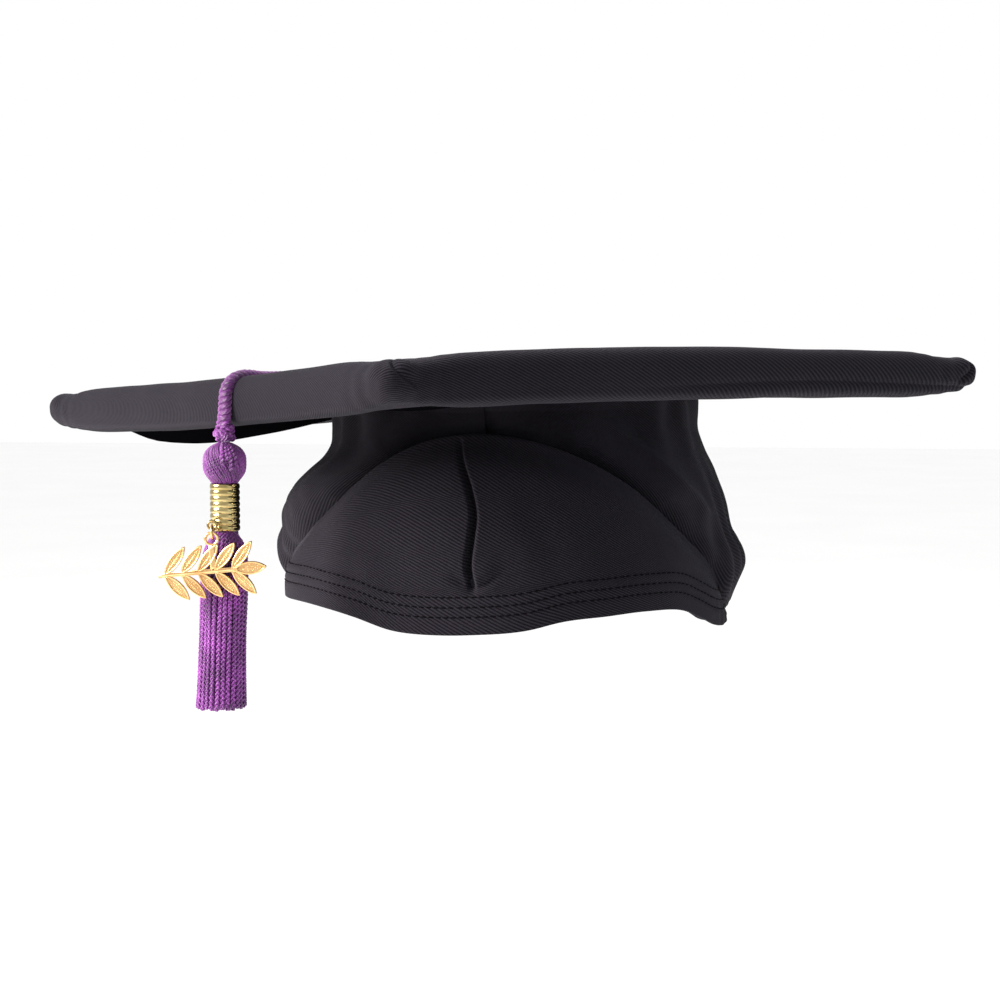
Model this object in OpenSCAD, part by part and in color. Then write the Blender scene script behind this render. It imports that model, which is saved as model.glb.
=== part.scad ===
// Soft-crowned graduation cap with a lift-off tassel.
// Millimetres, +Z up. The origin is the middle of the head opening, in the plane of the hem.
// -Y is the wearer's front, where one corner of the board points, and +X is the wearer's left.

/* [Board] */
// Side of the square board, over its cloth
board_side = 240; // [225:5:255]
// Thickness of the padded rim, over its cloth
rim_t = 13; // [12:0.5:15]
// Thickness of the stiff card inside
core_t = 2; // [1.5:0.5:3]
// Radius of the board's corners, seen from above
corner_r = 4; // [3:1:12]
// Thickness of one layer of cloth, seam allowance included
cloth_t = 0.7; // [0.5:0.1:0.9]

/* [Crown] */
// Width of the head opening, side to side, outside
crown_w = 160; // [152:2:168]
// Length of the head opening, front to back, outside
crown_l = 188; // [180:2:196]
// Height of the sweatband
band_h = 30; // [20:2:36]
// Width of the elastic at the back
elastic_w = 12; // [8:1:16]

/* [Button] */
// Radius of the covered button
button_r = 11; // [9:0.5:12]
// Height of the covered button
button_h = 4.8; // [4:0.2:5.4]

/* [Tassel] */
// Diameter of the twisted cord
cord_d = 4.4; // [3.8:0.1:4.6]
// Diameter of the wound head
head_d = 14; // [12:0.5:15]
// Length of the ribbed metal ferrule
ferrule_l = 14.8; // [13:0.2:16]
// Length of the strands below the ferrule
skirt_l = 56; // [40:2:180]
// Diameter of the skirt at its ends
skirt_d = 16.4; // [15:0.2:18]
// Width of the metal charm
charm_w = 34; // [28:1:36]

/* [Hidden] */
$fn = 48;

black = [0.09, 0.08, 0.10];
lining = [0.14, 0.13, 0.16];
purple = [0.50, 0.12, 0.60];
gold = [0.83, 0.68, 0.36];

layer_gap = 0.25;  // air between two layers that lie on each other
half = board_side / 2;
rim_r = rim_t / 2;

// The board is sewn a little to one side of the head opening, because the soft crown leans.
board_x = -7;

// Heights of the board's middle surface: three rows of three, from the front corner.
// Along a row they run towards the left-ear corner, and from row to row towards the other side corner.
bow = [[80.5, 82.3, 81.5],
       [71.8, 79.0, 80.0],
       [68.0, 69.0, 80.0]];

// Half thickness of the padded board at a distance s from its middle, as [s, h], above and below.
// The button pulls in a dimple above.
dimple_r = 18;
dimple_h = 3.0;
swell = [[dimple_r, dimple_h], [36, 4.8], [53, 5.6], [70, 5.9], [85, 5.6], [100, 5.3],
         [half - rim_r - 2, rim_r]];
under = [[dimple_r, 5], [36, 5], [53, 5], [70, 5], [85, 5.35], [100, 5.7], [half - rim_r - 2, rim_r]];
under_h = 5.6;     // from the middle surface to the top of the crown
shank_hole = 2.2;

// Half width and half length of the crown's outside, from the hem (0) up to the board (1)
function crown_a(t) = crown_w / 80 * lookup(t, [[0, 40], [0.2, 42], [0.5, 39], [0.8, 33.6], [1, 32.2]]);
function crown_b(t) = crown_l / 94 * lookup(t, [[0, 47], [0.25, 47.4], [0.5, 45.6], [0.8, 41.2], [1, 37]]);
front_half = 78;   // half the angle that the front panel covers
back_half = 56;    // half the angle that the back panel covers
seam = 0.25;       // degrees of air at each side seam

// The cord's route: from the loop, across the board, over the rim and down to the knot
run_route = [[-17, -14.5, 84.3], [-25, -27.4, 84.9], [-35, -43.5, 85.3], [-46.3, -61.6, 84.7],
             [-56.9, -78.7, 83.3], [-64.9, -91.5, 82.7], [-69.3, -98.6, 82.7], [-72, -103, 80.6],
             [-73.3, -105.6, 77]];
drop_route = [[-73.6, -106.2, 72.2], [-73.8, -106.1, 70.2], [-74, -106, 68.2], [-74, -106, 65.9]];
tassel = [-74, -106, 0];
knot_z = 62.4;      // middle of the knot, which is where the tassel swings on the cord
knot_r = 3.1;
head_top = knot_z - 1.6;
head_h = 12.8;
ferrule_top = head_top - head_h;
ferrule_r = 4.7;
ferrule_wall = 0.6;
ferrule_bottom = ferrule_top - ferrule_l;
ribs = 8;

// The ring and the charm hang in front of the strands and face a little to the wearer's left.
charm_turn = 10;
wire_r = 0.4;
eye_r = 1.4;       // to the middle of the wire, for the eye on the ferrule
ring_r = 2.1;      // to the middle of the wire, for the jump ring
link_x = -3;
eye_y = -7;
eye_z = ferrule_bottom + 2.2;
ring_lean = 55;    // the skirt holds the ring out from the plumb line
charm_t = 1.6;
charm_tilt = 5;
charm_eye_r = 1.9;

// ---- Shared forms ----

// Quadratic weights of the three heights in a row, for t from -1 to 1
function weights(t) = [t * (t - 1) / 2, 1 - t * t, t * (t + 1) / 2];
function board_z(x, y) =
    let (u = (x - board_x + y) / sqrt(2) / half, v = (y - x + board_x) / sqrt(2) / half)
    weights(v) * [for (row = bow) row * weights(u)];

// One ring round the board: a rounded square of half side s, h above the middle surface
function square_ring(s) =
    let (r = min(corner_r, s / 2), c = s - r)
    concat([for (a = [0:30:90]) [c + r * cos(a), c + r * sin(a)]],
           [for (f = [1:5]) [c * (1 - f / 3), s]]);
function board_ring(s, h) =
    [for (k = [0:3], p = square_ring(s))
        let (u = p[0] * cos(90 * k) - p[1] * sin(90 * k), v = p[0] * sin(90 * k) + p[1] * cos(90 * k),
             x = board_x + (u - v) / sqrt(2), y = (u + v) / sqrt(2))
        [x, y, board_z(x, y) + h]];

// Half of the padded board's section from the shank hole to the rim's edge, set in by d
function half_section(d, form, stop) =
    concat([[shank_hole, form[0][1] - d]],
           [for (p = form) [p[0], p[1] - d]],
           [for (a = [75:-25:stop]) [half - rim_r + (rim_r - d) * cos(a), (rim_r - d) * sin(a)]]);
function flip(section) = [for (p = section) [p[0], -p[1]]];
function back(list) = [for (i = [len(list) - 1:-1:0]) list[i]];

// A closed solid over rings of points that join end to end, the last to the first.
// Each face is split along its shorter diagonal, so layers that lie together bend alike.
module loop_solid(rings) {
    n = len(rings[0]);
    m = len(rings);
    points = [for (ring = rings, p = ring) p];
    polyhedron(points = points,
               faces = [for (i = [0:m - 1], j = [0:n - 1])
                   let (a = i * n + j, b = i * n + (j + 1) % n,
                        c = (i + 1) % m * n + (j + 1) % n, d = (i + 1) % m * n + j)
                   each norm(points[a] - points[c]) < norm(points[b] - points[d])
                       ? [[a, b, c], [a, c, d]] : [[a, b, d], [b, c, d]]]);
}

// A closed solid over sections with an even number of points, capped at both ends
module swept_solid(sections) {
    n = len(sections[0]);
    last = (len(sections) - 1) * n;
    polyhedron(points = [for (s = sections, p = s) p],
               faces = concat(
                   [for (i = [0:len(sections) - 2], j = [0:n - 1])
                       let (a = i * n + j, b = i * n + (j + 1) % n, c = b + n, d = a + n)
                       each [[a, b, c], [a, c, d]]],
                   [for (j = [0:n / 2 - 2])
                       each [[j + 1, j, n - 1 - j], [j + 1, n - 1 - j, n - 2 - j]]],
                   [for (j = [0:n / 2 - 2])
                       each [[last + j, last + j + 1, last + n - 1 - j],
                             [last + j + 1, last + n - 2 - j, last + n - 1 - j]]]));
}

module board_layer(section) {
    loop_solid([for (p = section) board_ring(p[0], p[1])]);
}

// A point on the crown at an angle from the wearer's left, a share t of its height, and d outside its face
function crown_point(angle, t, d) =
    let (x = (crown_a(t) + d) * cos(angle), y = (crown_b(t) + d) * sin(angle))
    [x, y, t * (board_z(x, y) - under_h)];

// A curved panel of the crown, between two angles, two shares of the height and two depths
module panel(angles, heights, depths, columns, rows) {
    ts = [for (i = [0:rows]) heights[0] + (heights[1] - heights[0]) * i / rows];
    swept_solid([for (i = [0:columns])
        let (angle = angles[0] + (angles[1] - angles[0]) * i / columns)
        concat([for (t = ts) crown_point(angle, t, depths[0])],
               [for (t = back(ts)) crown_point(angle, t, depths[1])])]);
}

// A round tube along a route
function spline(route, i, f) =
    let (p = route[max(i - 1, 0)], a = route[i], b = route[i + 1], q = route[min(i + 2, len(route) - 1)])
    0.5 * (2 * a + (b - p) * f + (2 * p - 5 * a + 4 * b - q) * f * f + (3 * a - p - 3 * b + q) * f * f * f);
function smooth(route) =
    concat([for (i = [0:len(route) - 2], f = [0, 0.5]) spline(route, i, f)], [route[len(route) - 1]]);
function unit(v) = v / norm(v);
module tube(route, r) {
    line = smooth(route);
    side = [0.825, -0.565, 0];
    swept_solid([for (i = [0:len(line) - 1])
        let (along = unit(line[min(i + 1, len(line) - 1)] - line[max(i - 1, 0)]),
             up = unit(cross(side, along)), across = cross(along, up))
        [for (a = [0:45:315]) line[i] + r * cos(a) * across + r * sin(a) * up]]);
}

// Stands its children on the dimple at the middle of the board, square to the board there
module at_button() {
    slope_u = (bow[1][2] - bow[1][0]) / board_side;
    slope_v = (bow[2][1] - bow[0][1]) / board_side;
    translate([board_x, 0, board_z(board_x, 0)])
        rotate([0, 0, 45])
            rotate([atan(slope_v), -atan(slope_u), 0])
                children();
}

module torus(r, wire) {
    rotate_extrude() translate([r, 0]) circle(wire, $fn = 24);
}

// ---- Board ----

module board_core() {
    edge = half - rim_r;
    color("tan") board_layer(concat(
        [for (s = [shank_hole, edge / 3, edge * 2 / 3, edge]) [s, -core_t / 2]],
        [for (s = [edge, edge * 2 / 3, edge / 3, shank_hole]) [s, core_t / 2]]));
}

// Half of the wadding: its flat inner face lies on the card and steps past the card's edge
function pad_section(form) =
    let (edge = half - rim_r)
    concat([for (s = [shank_hole, edge / 3, edge * 2 / 3, edge + 0.3]) [s, core_t / 2 + layer_gap]],
           [[edge + 0.3, layer_gap], [half - cloth_t - 0.5, layer_gap]],
           back(half_section(cloth_t + layer_gap, form, 25)));

module pad_top() {
    color("white") board_layer(pad_section(swell));
}

module pad_bottom() {
    color("white") board_layer(back(flip(pad_section(under))));
}

wrap_s = 100;      // how far in the top cloth is turned under, and where the under cloth begins

module top_cover() {
    inside = cloth_t;
    color(black) board_layer(concat(
        half_section(inside, swell, 0),
        [for (a = [-25:-25:-75]) [half - rim_r + (rim_r - inside) * cos(a), (rim_r - inside) * sin(a)]],
        [[half - rim_r - 2, inside - rim_r], [wrap_s, inside - 5.7], [wrap_s, -5.7]],
        [[half - rim_r - 2, -rim_r]],
        [for (a = [-75:25:-25]) [half - rim_r + rim_r * cos(a), rim_r * sin(a)]],
        back(half_section(0, swell, 0))));
}

module bottom_cover() {
    outside = concat([[shank_hole, -under[0][1]]], [for (i = [0:4]) [under[i][0], -under[i][1]]],
                     [[wrap_s - 0.3, -under[5][1]]]);
    color(black) board_layer(back(concat([for (p = outside) [p[0], p[1] + cloth_t]], back(outside))));
}

// ---- Button ----

module button_cover() {
    color(black) at_button() translate([0, 0, dimple_h + layer_gap]) rotate_extrude() polygon(concat(
        [[button_r - 3, 0], [button_r - 0.4, 0]],
        [for (a = [0:15:75]) [button_r * cos(a), 1 + (button_h - 1) * sin(a)]],
        [[0, button_h], [0, button_h - 0.6]],
        [for (a = [75:-15:0]) [(button_r - 0.6) * cos(a), 1 + (button_h - 1.6) * sin(a)]],
        [[button_r - 0.8, 0.6], [button_r - 3, 0.6]]));
}

module button_shell() {
    r = button_r - 0.7;
    h = button_h - 0.7;
    color("silver") at_button() translate([0, 0, dimple_h + layer_gap]) rotate_extrude() polygon(concat(
        [for (a = [0:15:75]) [r * cos(a), 1 + (h - 1) * sin(a)]],
        [[0, h], [0, h - 0.5]],
        [for (a = [75:-15:0]) [(r - 0.5) * cos(a), 1 + (h - 1.5) * sin(a)]]));
}

// Disc that closes the shell from below, with the pin that goes through the board
module button_back() {
    color("silver") at_button() translate([0, 0, dimple_h + layer_gap]) {
        translate([0, 0, 1]) cylinder(h = 0.6, r = button_r - 1.5);
        translate([0, 0, -11.5]) cylinder(h = 12.6, r = 1.1);
    }
}

// Clip that holds the pin from inside the crown
module button_washer() {
    color("silver") at_button() translate([0, 0, -7.8]) difference() {
        cylinder(h = 0.8, r = 8);
        translate([0, 0, -1]) cylinder(h = 3, r = 1.12);
    }
}

// ---- Crown ----

front = -90;
rear = 90;
crown_t = 1.2;     // outer cloth with its backing
module crown_front() {
    color(black) panel([front - front_half + seam, front + front_half - seam], [0, 1], [-crown_t, 0], 26, 10);
}

module crown_left() {
    color(black) panel([rear + back_half + seam, 360 + front - front_half - seam], [0, 1], [-crown_t, 0], 12, 10);
}

module crown_right() {
    color(black) panel([front + front_half + seam, rear - back_half - seam], [0, 1], [-crown_t, 0], 12, 10);
}

module crown_back() {
    color(black) panel([rear - back_half + seam, rear + back_half - seam], [0, 1], [-crown_t, 0], 26, 10);
}

// Stiff lining that keeps the front panel up
module front_interlining() {
    color(lining) panel([front - front_half + 2, front + front_half - 2], [0, 0.8],
                        [-crown_t - 1, -crown_t - layer_gap], 26, 8);
}

// Band against the forehead and the sides of the head
module sweatband() {
    color(lining) panel([front - front_half - 42, front + front_half + 42], [0.01, band_h / 72],
                        [-crown_t - 2.3, -crown_t - 1.4], 48, 3);
}

// Turned-up hem at the back that holds the elastic
module back_casing() {
    color(lining) panel([rear - back_half + 2, rear + back_half - 2], [0.01, 0.24],
                        [-crown_t - 2.4, -crown_t - 1.6], 18, 2);
}

module elastic_band() {
    color("dimgray") panel([rear - back_half + 4, rear + back_half - 4],
                           [0.04, 0.04 + elastic_w / 72], [-crown_t - 1.2, -crown_t - layer_gap], 18, 2);
}

// Cloth that closes the crown under the board
module crown_tip() {
    shape = [0.03, 0.35, 0.7, 1];
    top = -under_h + 0.1;
    inset = crown_t + 0.2;
    color(black) loop_solid([for (p = concat([for (f = shape) [f, top - cloth_t]], [for (f = back(shape)) [f, top]]))
        [for (k = [0:8:352])
            let (x = (crown_a(1) - inset) * p[0] * cos(k), y = (crown_b(1) - inset) * p[0] * sin(k))
            [x + board_x * (1 - p[0]), y, board_z(x + board_x * (1 - p[0]), y) + p[1]]]]);
}

// ---- Cord ----

// Loop that goes over the button
module cord_loop() {
    loop_wire = 1.3;
    color(purple) at_button() translate([0, 0, dimple_h + loop_wire + layer_gap]) torus(button_r + 4.3, loop_wire);
}

module cord_run() {
    color(purple) tube(run_route, cord_d / 2);
}

module cord_drop() {
    color(purple) tube(drop_route, cord_d / 2);
}

// ---- Tassel ----

// Hitch that ties the cord to the head
module tassel_knot() {
    color(purple) translate([tassel[0], tassel[1], knot_z]) difference() {
        sphere(knot_r);
        translate([-10, -10, head_top - knot_z - 20]) cube([20, 20, 20.1]);
    }
}

module tassel_head() {
    r = head_d / 2;
    middle = -head_h / 2;
    color(purple) translate([tassel[0], tassel[1], head_top]) rotate_extrude() polygon(concat(
        [[0, 0]],
        [for (a = [70:-10:-50]) [r * cos(a), middle + head_h / 2 * sin(a)]],
        [[ferrule_r - ferrule_wall - 0.2, -head_h], [0, -head_h]]));
}

// Ribbed clamp, with the small eye that carries the jump ring
module ferrule() {
    pitch = ferrule_l / ribs;
    color(gold) translate([tassel[0], tassel[1], 0]) {
        translate([0, 0, ferrule_bottom]) rotate_extrude() polygon(concat(
            [for (i = [0:ribs - 1], p = [[0.35, 0], [0, 0.3], [0, 0.7], [0.35, 1]])
                [ferrule_r - p[0], (i + p[1] * 0.98 + 0.01) * pitch]],
            [[ferrule_r - ferrule_wall, ferrule_l - 0.05], [ferrule_r - ferrule_wall, 0.05]]));
        rotate([0, 0, charm_turn]) {
            translate([link_x, eye_y, eye_z]) rotate([90, 0, 0]) torus(eye_r, wire_r);
            translate([link_x, eye_y + 0.2, eye_z + eye_r]) rotate([-90, 0, 0])
                cylinder(h = -eye_y - 3.4, r = wire_r);
        }
    }
}

// Bundle of strands, clamped by the ferrule and cut level at the end
module skirt() {
    neck = ferrule_r - ferrule_wall - 0.05;
    full = skirt_d / 2;
    color(purple) translate([tassel[0], tassel[1], ferrule_bottom]) rotate_extrude() polygon([
        [0, ferrule_l - 0.1], [neck, ferrule_l - 0.1], [neck, -0.1], [full * 0.74, -2.5], [full * 0.87, -7],
        [full * 0.92, -14], [full * 0.92, -skirt_l * 0.6], [full, -skirt_l], [0, -skirt_l]]);
}

// Puts its children where the jump ring turns on the ferrule's eye
module at_ring() {
    translate([tassel[0], tassel[1], 0]) rotate([0, 0, charm_turn])
        translate([link_x, eye_y, eye_z - eye_r]) children();
}

module jump_ring() {
    color(gold) at_ring() rotate([-ring_lean, 0, 0]) translate([0, 0, -ring_r + 2 * wire_r + 0.15])
        rotate([0, 90, 0]) torus(ring_r, wire_r);
}

// Leaf with pointed ends, l long and w wide, that starts at the origin and runs along +X
module leaf(l, w) {
    r = (l * l + w * w) / (4 * w);
    intersection() {
        translate([l / 2, w / 2 - r]) circle(r, $fn = 96);
        translate([l / 2, r - w / 2]) circle(r, $fn = 96);
    }
}

// Openwork sprig: leaves in pairs along a stem, a leaf at its tip, and an eye above
module charm() {
    drop = 2 * ring_r - 3 * wire_r - 0.3;
    span = charm_w / 34;
    leaf_l = 10.8;
    leaf_w = 3.4;
    lean = 50;
    color(gold) at_ring() translate([0, -drop * sin(ring_lean), -drop * cos(ring_lean)]) {
        translate([0, 0, 2 * wire_r - charm_eye_r]) rotate([90, 0, 0]) torus(charm_eye_r, wire_r);
        translate([0, charm_t / 2, -charm_eye_r - 9.2]) rotate([90, charm_tilt, 0])
            linear_extrude(charm_t) scale(span) {
                translate([-16.5, -0.7]) square([25, 1.4]);
                translate([-0.2, 0]) square([1.8, 8.4]);
                translate([7, 0]) leaf(10, 4);
                for (i = [0:4], side = [-1, 1])
                    translate([-14.6 + 5.2 * i, 0]) rotate(side * lean) leaf(leaf_l, leaf_w);
            }
    }
}

board_core();
pad_top();
pad_bottom();
top_cover();
bottom_cover();
button_cover();
button_shell();
button_back();
button_washer();
crown_front();
front_interlining();
crown_left();
crown_right();
crown_back();
crown_tip();
sweatband();
back_casing();
elastic_band();
cord_loop();
cord_run();
cord_drop();
tassel_knot();
tassel_head();
ferrule();
skirt();
jump_ring();
charm();
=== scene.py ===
import math

import bpy
import numpy as np
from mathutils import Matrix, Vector, noise


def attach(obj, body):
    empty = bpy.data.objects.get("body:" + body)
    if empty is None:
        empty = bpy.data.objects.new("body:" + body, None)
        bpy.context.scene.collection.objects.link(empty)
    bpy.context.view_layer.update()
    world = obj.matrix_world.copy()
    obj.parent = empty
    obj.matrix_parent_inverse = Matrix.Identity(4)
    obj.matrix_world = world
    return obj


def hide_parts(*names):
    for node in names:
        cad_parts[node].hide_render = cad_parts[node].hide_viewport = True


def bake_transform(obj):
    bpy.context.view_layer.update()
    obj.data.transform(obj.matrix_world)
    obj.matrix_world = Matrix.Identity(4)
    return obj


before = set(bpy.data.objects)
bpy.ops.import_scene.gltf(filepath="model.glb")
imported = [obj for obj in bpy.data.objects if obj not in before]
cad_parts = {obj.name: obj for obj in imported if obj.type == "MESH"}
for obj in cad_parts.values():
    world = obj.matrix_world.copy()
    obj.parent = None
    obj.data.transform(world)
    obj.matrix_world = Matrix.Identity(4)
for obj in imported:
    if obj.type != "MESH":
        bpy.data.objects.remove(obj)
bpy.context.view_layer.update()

# Lengths are in millimetres until a mesh is made, and angles in degrees unless a name ends in _r.
MM = 0.001
R2 = math.sqrt(2)

# ---- The design's own dimensions ----
BOARD_X = -7.0
HALF = 120.0
CORNER_R = 4.0
BOW = np.array([[80.5, 82.3, 81.5], [71.8, 79.0, 80.0], [68.0, 69.0, 80.0]])
DIMPLE_R, DIMPLE_H = 18.0, 3.0
UNDER_H = 5.6
BUTTON_R, BUTTON_H = 11.0, 4.8
CORD_D = 4.4
TASSEL = np.array([-74.0, -106.0])
KNOT_Z = 62.4
HEAD_TOP = KNOT_Z - 1.6
HEAD_D, HEAD_H = 14.0, 12.8
FERRULE_TOP = HEAD_TOP - HEAD_H
FERRULE_L, FERRULE_R = 14.8, 4.7
FERRULE_BOTTOM = FERRULE_TOP - FERRULE_L
SKIRT_L, SKIRT_D = 56.0, 16.4
CHARM_TURN, CHARM_TILT, CHARM_T = 10.0, 5.0, 1.6
LINK_X, EYE_Y, EYE_Z = -3.0, -7.0, FERRULE_BOTTOM + 2.2
EYE_R, RING_R, WIRE_R, CHARM_EYE_R, RING_LEAN = 1.4, 2.1, 0.4, 1.9, 55.0
RUN_ROUTE = [(-17, -14.5, 83.7), (-25, -27.4, 83.6), (-35, -43.5, 83.4), (-46.3, -61.6, 82.5),
             (-56.9, -78.7, 81.2), (-64.9, -91.5, 80.9), (-69.3, -98.6, 81.5), (-72, -103, 80.2),
             (-73.3, -105.6, 77)]
DROP_ROUTE = [(-73.6, -106.2, 72.2), (-73.8, -106.1, 70.2), (-74, -106, 68.2), (-74, -106, 65.9)]


# ---- Camera ----
def add_camera():
    """Level with the board's top, in front and a little to the wearer's left of the front corner."""
    azimuth, distance, height = math.radians(10.0), 700.0, 85.0
    right = np.array([math.cos(azimuth), math.sin(azimuth), 0])
    place = np.array([BOARD_X + distance * math.sin(azimuth), -distance * math.cos(azimuth), height])
    target = np.array([BOARD_X, 0, 36.3]) + 2.17 * right
    data = bpy.data.cameras.new("camera")
    data.sensor_width = 36
    data.lens = 69.84
    data.clip_start, data.clip_end = 0.01, 50
    camera = bpy.data.objects.new("camera", data)
    bpy.context.scene.collection.objects.link(camera)
    camera.location = Vector(place * MM)
    camera.rotation_euler = Vector((target - place).tolist()).to_track_quat("-Z", "Y").to_euler()
    bpy.context.scene.camera = camera


add_camera()


# ---- Mesh tools ----
def outward_from(angle):
    """Level unit vectors that point out at an angle."""
    return np.stack([np.cos(np.radians(angle)), np.sin(np.radians(angle)), 0 * angle], -1)


def lengths_along(line):
    """How far along a line each of its points lies."""
    return np.concatenate([[0], np.cumsum(np.linalg.norm(np.diff(line, axis=0), axis=1))])


def cloth_uv(along, up):
    return np.stack(np.broadcast_arrays(along, up), -1)


def finish_mesh(name, verts, faces, uvs, body, material, smooth=True):
    """An object from millimetre points, with one (u, v) in millimetres for each face corner."""
    mesh = bpy.data.meshes.new(name)
    mesh.from_pydata((np.asarray(verts) * MM).tolist(), [], faces)
    if uvs is not None:
        layer = mesh.uv_layers.new(name="cloth")
        layer.data.foreach_set("uv", (np.asarray(uvs, dtype=float) * MM).ravel())
    mesh.polygons.foreach_set("use_smooth", [smooth] * len(mesh.polygons))
    mesh.materials.append(material)
    piece = bpy.data.objects.new(name, mesh)
    bpy.context.scene.collection.objects.link(piece)
    if body:
        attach(piece, body)
    return piece


def grid(points, uv, wrap=False, flip=False):
    """Vertices, faces and corner uvs of a grid of points; uv has one more column where it wraps."""
    rows, columns = points.shape[:2]
    i, j = np.meshgrid(np.arange(rows - 1), np.arange(columns if wrap else columns - 1), indexing="ij")
    i, j = i.ravel(), j.ravel()
    k = (j + 1) % columns
    faces = np.stack([i * columns + j, i * columns + k, (i + 1) * columns + k, (i + 1) * columns + j], 1)
    corners = np.stack([uv[i, j], uv[i, j + 1], uv[i + 1, j + 1], uv[i + 1, j]], 1)
    if flip:
        faces, corners = faces[:, ::-1], corners[:, ::-1]
    return points.reshape(-1, 3), faces.tolist(), corners.reshape(-1, 2)


def thicken(piece, thickness, offset=-1.0):
    modifier = piece.modifiers.new("thickness", "SOLIDIFY")
    modifier.thickness = thickness * MM
    modifier.offset = offset
    modifier.use_even_offset = False


def subdivide(piece, levels=1):
    modifier = piece.modifiers.new("smooth", "SUBSURF")
    modifier.levels = modifier.render_levels = levels


def smooth_interp(x, xs, ys):
    """A curve through a few points, smooth where they meet."""
    xs, ys = np.asarray(xs, float), np.asarray(ys, float)
    slopes = np.gradient(ys, xs)
    x = np.clip(x, xs[0], xs[-1])
    k = np.clip(np.searchsorted(xs, x) - 1, 0, len(xs) - 2)
    h = xs[k + 1] - xs[k]
    t = (x - xs[k]) / h
    return ((2 * t**3 - 3 * t**2 + 1) * ys[k] + (t**3 - 2 * t**2 + t) * h * slopes[k]
            + (3 * t**2 - 2 * t**3) * ys[k + 1] + (t**3 - t**2) * h * slopes[k + 1])


def bell(x, middle, width):
    return np.exp(-((x - middle) / width) ** 2)


def step(x, low, high):
    t = np.clip((x - low) / (high - low), 0, 1)
    return t * t * (3 - 2 * t)


def noise_at(points, scale, seed=0.0):
    """Smooth noise from about -1 to 1 at each point, with lumps of about scale millimetres."""
    flat = points.reshape(-1, 3) / scale + seed
    return np.array([noise.noise(Vector(p)) for p in flat]).reshape(points.shape[:-1])


def grid_normals(points, wrap=False):
    down = np.gradient(points, axis=0)
    if wrap:
        along = (np.roll(points, -1, 1) - np.roll(points, 1, 1)) / 2
    else:
        along = np.gradient(points, axis=1)
    n = np.cross(along, down)
    return n / np.maximum(np.linalg.norm(n, axis=-1, keepdims=True), 1e-9)


class Bag:
    """Collects tubes and grids, to make them one piece."""

    def __init__(self):
        self.verts, self.faces, self.uvs, self.count = [], [], [], 0

    def add(self, verts, faces, uvs):
        self.verts.append(np.asarray(verts, float))
        self.faces += [[v + self.count for v in f] for f in faces]
        self.uvs.append(np.asarray(uvs, float).reshape(-1, 2))
        self.count += len(verts)

    def piece(self, name, body, material):
        verts, uvs = np.concatenate(self.verts), np.concatenate(self.uvs)
        return finish_mesh(name, verts, self.faces, uvs, body, material)


def frames_along(line):
    """Two cross directions at each point of a line, carried along it without turning."""
    tangent = np.gradient(line, axis=0)
    tangent /= np.linalg.norm(tangent, axis=1, keepdims=True)
    side = np.cross(tangent[0], [0, 0, 1] if abs(tangent[0][2]) < 0.9 else [1, 0, 0])
    sides = []
    for t in tangent:
        side = side - t * (side @ t)
        side = side / np.linalg.norm(side)
        sides.append(side)
    sides = np.array(sides)
    return sides, np.cross(tangent, sides)


def frames_round(line):
    """Two cross directions at each point of a closed line: away from its middle, and across that."""
    tangent = np.roll(line, -1, 0) - np.roll(line, 1, 0)
    tangent /= np.linalg.norm(tangent, axis=1, keepdims=True)
    outward = line - line.mean(0)
    outward -= tangent * (outward * tangent).sum(1)[:, None]
    outward /= np.linalg.norm(outward, axis=1, keepdims=True)
    return outward, np.cross(tangent, outward)


def add_tube(bag, line, radius, sides=8, closed=False, shift=0.0):
    """A round tube with closed, slightly domed ends; u runs round it and v along it."""
    line = np.asarray(line, float)
    radius = np.broadcast_to(radius, len(line)).astype(float)
    if closed:
        a, b = frames_round(line)
    else:
        a, b = frames_along(line)
    turn = np.linspace(0, 2 * np.pi, sides, endpoint=False)
    points = (line[:, None] + radius[:, None, None]
              * (a[:, None] * np.cos(turn)[None, :, None] + b[:, None] * np.sin(turn)[None, :, None]))
    length = lengths_along(line) + shift
    around = np.linspace(0, 1, sides + 1) * 2 * np.pi * radius.mean()
    uv = cloth_uv(around[None, :], length[:, None])
    if closed:
        points = np.concatenate([points, points[:1]])
        uv = np.concatenate([uv, uv[-1:] + [0, np.linalg.norm(line[0] - line[-1])]])
        verts, faces, corners = grid(points, uv, wrap=True)
        last = len(line) * sides
        faces = [[v - last if v >= last else v for v in f] for f in faces]
        bag.add(verts[:last], faces, corners)
        return
    verts, faces, corners = grid(points, uv, wrap=True)
    start, end = len(verts), len(verts) + 1
    along = line[1] - line[0], line[-1] - line[-2]
    tips = [line[0] - 0.5 * radius[0] * along[0] / np.linalg.norm(along[0]),
            line[-1] + 0.5 * radius[-1] * along[1] / np.linalg.norm(along[1])]
    verts = np.concatenate([verts, tips])
    last = (len(line) - 1) * sides
    for j in range(sides):
        k = (j + 1) % sides
        faces.append([k, j, start])
        faces.append([last + j, last + k, end])
        corners = np.concatenate([corners, [uv[0, j + 1], uv[0, j], uv[0, j],
                                            uv[-1, j], uv[-1, j + 1], uv[-1, j]]])
    bag.add(verts, faces, corners)


def curve(points, per_span=6):
    """A smooth line through given points."""
    p = np.array([points[0], *points, points[-1]], float)
    p[0], p[-1] = 2 * p[1] - p[2], 2 * p[-2] - p[-3]
    out = []
    for i in range(1, len(p) - 2):
        for f in np.arange(per_span) / per_span:
            a, b, c, d = p[i - 1:i + 3]
            out.append(0.5 * (2 * b + (c - a) * f + (2 * a - 5 * b + 4 * c - d) * f * f
                              + (3 * b - a - 3 * c + d) * f**3))
    return np.array([*out, p[-2]])


def resample(line, gap):
    length = lengths_along(line)
    at = np.linspace(0, length[-1], max(int(length[-1] / gap), 2) + 1)
    return np.stack([np.interp(at, length, line[:, k]) for k in range(3)], 1), at


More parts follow.
